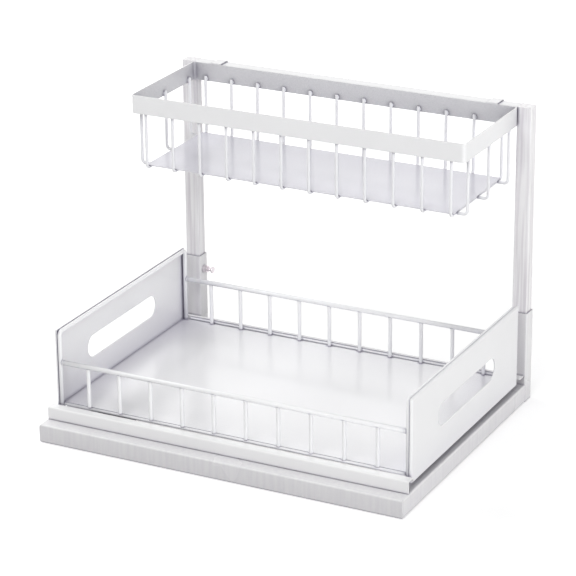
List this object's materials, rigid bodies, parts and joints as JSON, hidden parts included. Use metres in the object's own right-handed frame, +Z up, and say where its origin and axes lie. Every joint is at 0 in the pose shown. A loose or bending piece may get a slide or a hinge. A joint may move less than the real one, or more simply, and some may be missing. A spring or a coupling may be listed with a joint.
{
  "type": "pull out cabinet basket",
  "caption": "Two-tier pull-out cabinet organizer: a sheet and wire tray on ball slides in a low frame, under a wire basket hung from two uprights.",
  "frame": {"origin": "middle of the 400 x 320 mm footprint, on the cabinet floor", "axes": "+X to the right seen from the front, +Y to the back of the cabinet, +Z up; the tray pulls out along -Y"},
  "size_m": [0.4, 0.32, 0.3191],
  "materials": {
    "white_powder_coat": "satin white powder coat",
    "zinc_plated_steel": "bright zinc plate",
    "chromed_steel": "polished",
    "black_rubber": "matt"
  },
  "bodies": {
    "base": {"side_frame_left": "white_powder_coat", "side_frame_right": "white_powder_coat", "front_rail": "white_powder_coat", "rear_rail": "white_powder_coat", "corner_gusset_left": "white_powder_coat", "corner_gusset_right": "white_powder_coat", "lock_boss_left": "white_powder_coat", "lock_boss_right": "white_powder_coat", "slide_outer_left": "zinc_plated_steel", "slide_outer_right": "zinc_plated_steel", "slide_bumper_left": "black_rubber", "slide_bumper_right": "black_rubber"},
    "cage_left": {"ball_cage_left": "zinc_plated_steel", "slide_balls_left": "chromed_steel"},
    "cage_right": {"ball_cage_right": "zinc_plated_steel", "slide_balls_right": "chromed_steel"},
    "carriage": {"slide_inner_left": "zinc_plated_steel", "slide_inner_right": "zinc_plated_steel", "carriage_rail_left": "white_powder_coat", "carriage_rail_right": "white_powder_coat", "carriage_front": "white_powder_coat", "carriage_rear": "white_powder_coat"},
    "tray": {"tray_floor": "white_powder_coat", "tray_side_left": "white_powder_coat", "tray_side_right": "white_powder_coat", "side_hoop_left": "white_powder_coat", "side_hoop_right": "white_powder_coat", "front_fence": "white_powder_coat", "rear_fence": "white_powder_coat", "front_sill_rod": "white_powder_coat", "rear_sill_rod": "white_powder_coat"},
    "mast": {"post_left": "white_powder_coat", "post_right": "white_powder_coat", "crossbar": "white_powder_coat"},
    "lock_left": {"thumbscrew_left": "chromed_steel"},
    "lock_right": {"thumbscrew_right": "chromed_steel"},
    "basket": {"basket_rim": "white_powder_coat", "long_wires": "white_powder_coat", "end_wires_left": "white_powder_coat", "end_wires_right": "white_powder_coat", "basket_plate": "white_powder_coat", "hook_left": "white_powder_coat", "hook_right": "white_powder_coat"}
  },
  "joints": [
    {"name": "carriage_slide", "type": "slide", "parent": "base", "child": "carriage", "axis": [0, -1, 0], "range_m": [0, 0.19]},
    {"name": "cage_left_slide", "type": "slide", "parent": "base", "child": "cage_left", "axis": [0, -1, 0], "range_m": [0, 0.095]},
    {"name": "cage_right_slide", "type": "slide", "parent": "base", "child": "cage_right", "axis": [0, -1, 0], "range_m": [0, 0.095]},
    {"name": "tray_lift", "type": "slide", "parent": "carriage", "child": "tray", "axis": [0, 0, 1], "range_m": [0, 0.1]},
    {"name": "height_slide", "type": "slide", "parent": "base", "child": "mast", "axis": [0, 0, 1], "range_m": [0, 0.06]},
    {"name": "thumbscrew_left_turn", "type": "hinge", "parent": "base", "child": "lock_left", "pos_m": [-0.176, 0.1517, 0.082], "axis": [1, 0, 0], "range_deg": [0, 720]},
    {"name": "thumbscrew_right_turn", "type": "hinge", "parent": "base", "child": "lock_right", "pos_m": [0.176, 0.1517, 0.082], "axis": [-1, 0, 0], "range_deg": [0, 720]},
    {"name": "basket_lift", "type": "slide", "parent": "mast", "child": "basket", "axis": [0, 0, 1], "range_m": [0, 0.05]}
  ],
  "couplings": [
    {"joint": "cage_left_slide", "follows": "carriage_slide", "ratio": 0.5},
    {"joint": "cage_right_slide", "follows": "carriage_slide", "ratio": 0.5}
  ]
}
